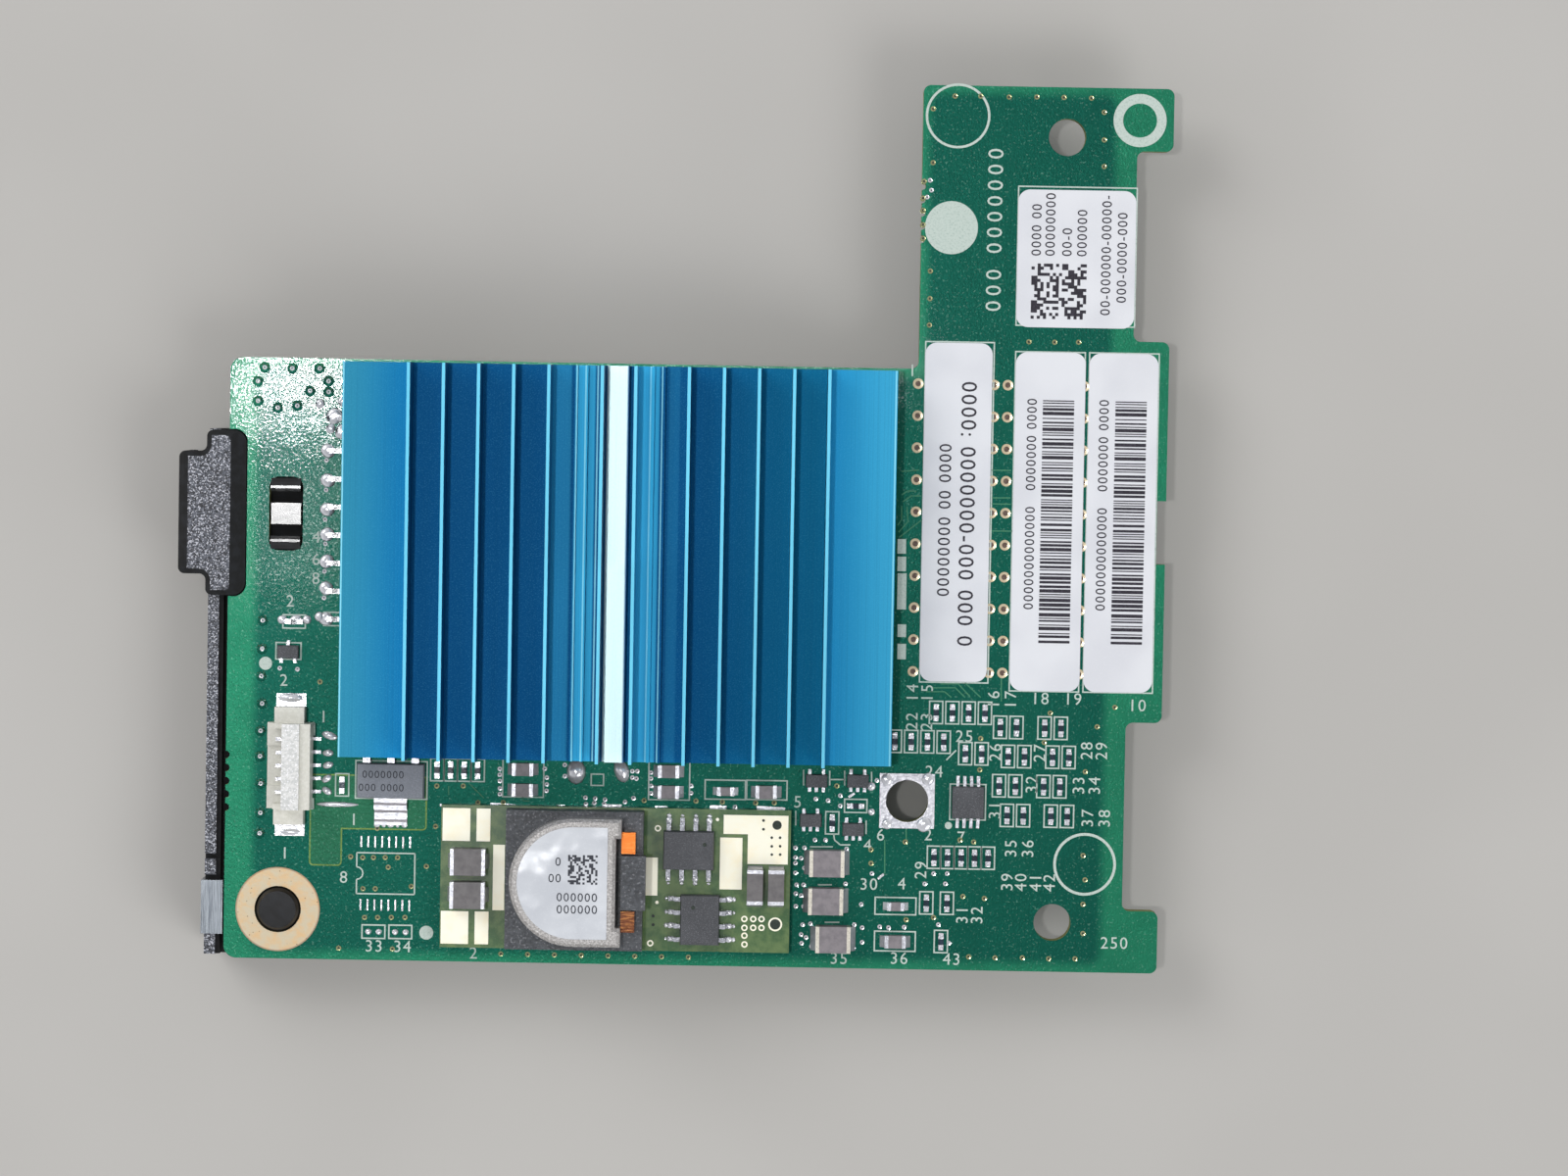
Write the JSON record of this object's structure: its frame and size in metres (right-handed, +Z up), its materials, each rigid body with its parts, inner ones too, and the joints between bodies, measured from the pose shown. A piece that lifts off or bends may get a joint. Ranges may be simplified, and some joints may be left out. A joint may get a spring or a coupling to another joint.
{
  "type": "fibre channel expansion card",
  "caption": "Server mezzanine card: green board with finned blue heat sink, power module, paper labels, moulded edge clip and stacking connectors underneath.",
  "frame": {"origin": "below the middle of the whole card, on the plane that the connectors and the clip rest on", "axes": "+X to the stepped right edge, +Y to the wing, +Z up from the resting plane through the component side"},
  "size_m": [0.0932, 0.0836, 0.0163],
  "materials": {
    "laminate": "glossy green solder mask on glass-epoxy laminate",
    "module_laminate": "glossy olive green solder mask",
    "tin": "bright tin plate and solder",
    "copper": "bare copper with a thin protective coat",
    "gold": "immersion gold",
    "black_nylon": "spark-textured black nylon",
    "steel": "worn spring steel",
    "connector_plastic": "black liquid crystal polymer",
    "package_plastic": "matte black moulding compound",
    "thermal_rubber": "soft grey filled silicone",
    "blue_aluminium": "blue anodised extrusion",
    "ivory_plastic": "ivory nylon",
    "ferrite": "dark grey sintered ferrite",
    "nickel_silver": "pale grey plated cover",
    "paper": "satin white label stock",
    "resistor_film": "black resistor glaze",
    "ceramic": "grey brown fired ceramic"
  },
  "bodies": {
    "root": {"bead_bodies": "ferrite", "bead_terminals": "tin", "board": "laminate", "bulk_bodies": "ceramic", "bulk_terminals": "tin", "capacitor_bodies": "ceramic", "capacitor_terminals": "tin", "connector_contacts": "tin", "connector_housings": "connector_plastic", "controller": "package_plastic", "driver_body": "package_plastic", "driver_leads": "tin", "edge_clip": "black_nylon", "edge_latch": "steel", "gate_bodies": "package_plastic", "gate_leads": "tin", "ground_land": "tin", "header_contacts": "tin", "header_housing": "ivory_plastic", "header_tabs": "tin", "heat_sink": "blue_aluminium", "inductor_base": "ferrite", "inductor_cover": "nickel_silver", "inductor_label": "paper", "inductor_winding": "copper", "label_code": "paper", "label_left": "paper", "label_middle": "paper", "label_right": "paper", "locating_ring": "copper", "memory_body": "package_plastic", "memory_leads": "tin", "module_board": "module_laminate", "module_capacitor_bodies": "ceramic", "module_capacitor_terminals": "tin", "module_lands": "tin", "module_pads": "gold", "regulator_body": "package_plastic", "regulator_leads": "tin", "resistor_bodies": "resistor_film", "resistor_terminals": "tin", "switch_body": "package_plastic", "switch_leads": "tin", "thermal_pad": "thermal_rubber", "transistor_body": "package_plastic", "transistor_leads": "tin"}
  },
  "joints": []
}
